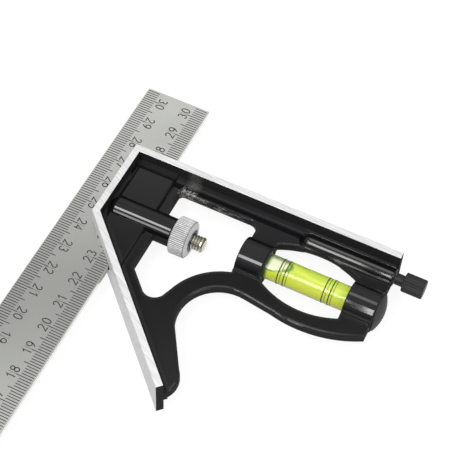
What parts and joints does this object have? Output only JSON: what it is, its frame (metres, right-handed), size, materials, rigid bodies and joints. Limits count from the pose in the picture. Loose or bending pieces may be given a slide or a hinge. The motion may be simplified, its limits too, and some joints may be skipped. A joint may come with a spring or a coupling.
{
  "type": "combination square",
  "caption": "Combination square: a steel rule that slides in a cast head with 90 and 45 degree faces, clamped by a draw bolt, with a spirit level and a scriber.",
  "frame": {"origin": "middle of the head's 90 degree face, at mid-thickness", "axes": "+X along the 90 degree face, away from the rule; +Y out of that face, along the rule; +Z out of the head's side that carries the rule's marked face"},
  "size_m": [0.1225, 0.305, 0.0156],
  "materials": {
    "black_paint": "gloss black paint, bright where the working faces and flange edges are machined",
    "satin_steel": "satin stainless with black graduations",
    "bolt_steel": "plated, slightly warm",
    "bright_steel": "bright plated, straight knurl",
    "spring_steel": "plain wire",
    "clear_vial": "clear, polished",
    "green_liquid": "yellow-green liquid",
    "white_packing": "matt",
    "black_plastic": "satin black",
    "brass": "turned",
    "needle_steel": "ground, hardened"
  },
  "bodies": {
    "head": {"square_head": "black_paint", "vial_tube": "clear_vial", "vial_liquid": "green_liquid", "vial_stopper": "black_plastic", "vial_packing_left": "white_packing", "vial_packing_right": "white_packing", "vial_end_plug": "black_plastic", "scriber_bushing": "brass", "clamp_spring": "spring_steel"},
    "rule": {"steel_rule": "satin_steel"},
    "bolt": {"clamp_bolt": "bolt_steel"},
    "nut": {"clamp_nut": "bright_steel"},
    "scriber": {"scriber_needle": "needle_steel", "scriber_knob": "black_plastic"}
  },
  "joints": [
    {"name": "rule_slide", "type": "slide", "parent": "head", "child": "rule", "axis": [0, 1, 0], "range_m": [-0.029, 0.23]},
    {"name": "nut_turn", "type": "hinge", "parent": "head", "child": "nut", "pos_m": [-0.0233, -0.0231, 0], "axis": [1, 0, 0], "range_deg": [0, 287]},
    {"name": "bolt_draw", "type": "slide", "parent": "head", "child": "bolt", "axis": [-1, 0, 0], "range_m": [0, 0.0008]},
    {"name": "scriber_pull", "type": "slide", "parent": "head", "child": "scriber", "axis": [1, 0, 0], "range_m": [0, 0.036]}
  ],
  "couplings": [
    {"joint": "bolt_draw", "follows": "nut_turn", "m_per_rad": 0.00015915}
  ]
}
